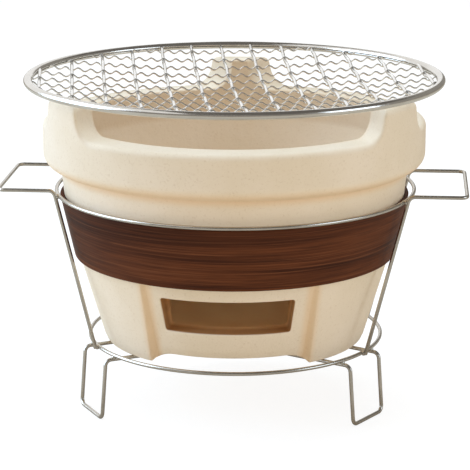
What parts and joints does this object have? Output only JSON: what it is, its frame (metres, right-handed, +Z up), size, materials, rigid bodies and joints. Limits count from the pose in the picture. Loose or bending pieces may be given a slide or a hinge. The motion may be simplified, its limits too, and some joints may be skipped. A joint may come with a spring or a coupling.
{
  "type": "charcoal tea stove",
  "caption": "Round clay charcoal stove with a notched rim and an air vent, girdled by a wood band, in a bent-wire stand with handles and feet, under a round grill net",
  "frame": {"origin": "centre of the footprint on the floor", "axes": "+X towards the right handle, -Y towards the air vent, +Z up"},
  "size_m": [0.2672, 0.2398, 0.1904],
  "materials": {
    "body_clay": "matte unglazed, fine grained",
    "band_wood": "satin dark veneer",
    "grate_clay": "matte unglazed",
    "stand_wire": "bright plated",
    "rim_sheet": "bright plated",
    "net_wire": "bright drawn wire"
  },
  "bodies": {
    "stand": {"upper_ring": "stand_wire", "lower_ring": "stand_wire", "side_wire_left": "stand_wire", "side_wire_right": "stand_wire", "foot_front_left": "stand_wire", "foot_front_right": "stand_wire", "foot_rear": "stand_wire"},
    "clay": {"clay_body": "body_clay", "wood_band": "band_wood"},
    "grate": {"fire_grate": "grate_clay"},
    "net": {"net_rim": "rim_sheet", "net_bar_01": "net_wire", "net_bar_02": "net_wire", "net_bar_03": "net_wire", "net_bar_04": "net_wire", "net_bar_05": "net_wire", "net_bar_06": "net_wire", "net_bar_07": "net_wire", "net_bar_08": "net_wire", "net_bar_09": "net_wire", "net_bar_10": "net_wire", "net_bar_11": "net_wire", "net_bar_12": "net_wire", "net_bar_13": "net_wire", "net_wire_01": "net_wire", "net_wire_02": "net_wire", "net_wire_03": "net_wire", "net_wire_04": "net_wire", "net_wire_05": "net_wire", "net_wire_06": "net_wire", "net_wire_07": "net_wire", "net_wire_08": "net_wire", "net_wire_09": "net_wire", "net_wire_10": "net_wire", "net_wire_11": "net_wire", "net_wire_12": "net_wire"}
  },
  "joints": [
    {"name": "body_lift", "type": "slide", "parent": "stand", "child": "clay", "axis": [0, 0, 1], "range_m": [0, 0.1]},
    {"name": "grate_lift", "type": "slide", "parent": "clay", "child": "grate", "axis": [0, 0, 1], "range_m": [0, 0.06]},
    {"name": "net_lift", "type": "slide", "parent": "clay", "child": "net", "axis": [0, 0, 1], "range_m": [0, 0.04]}
  ]
}
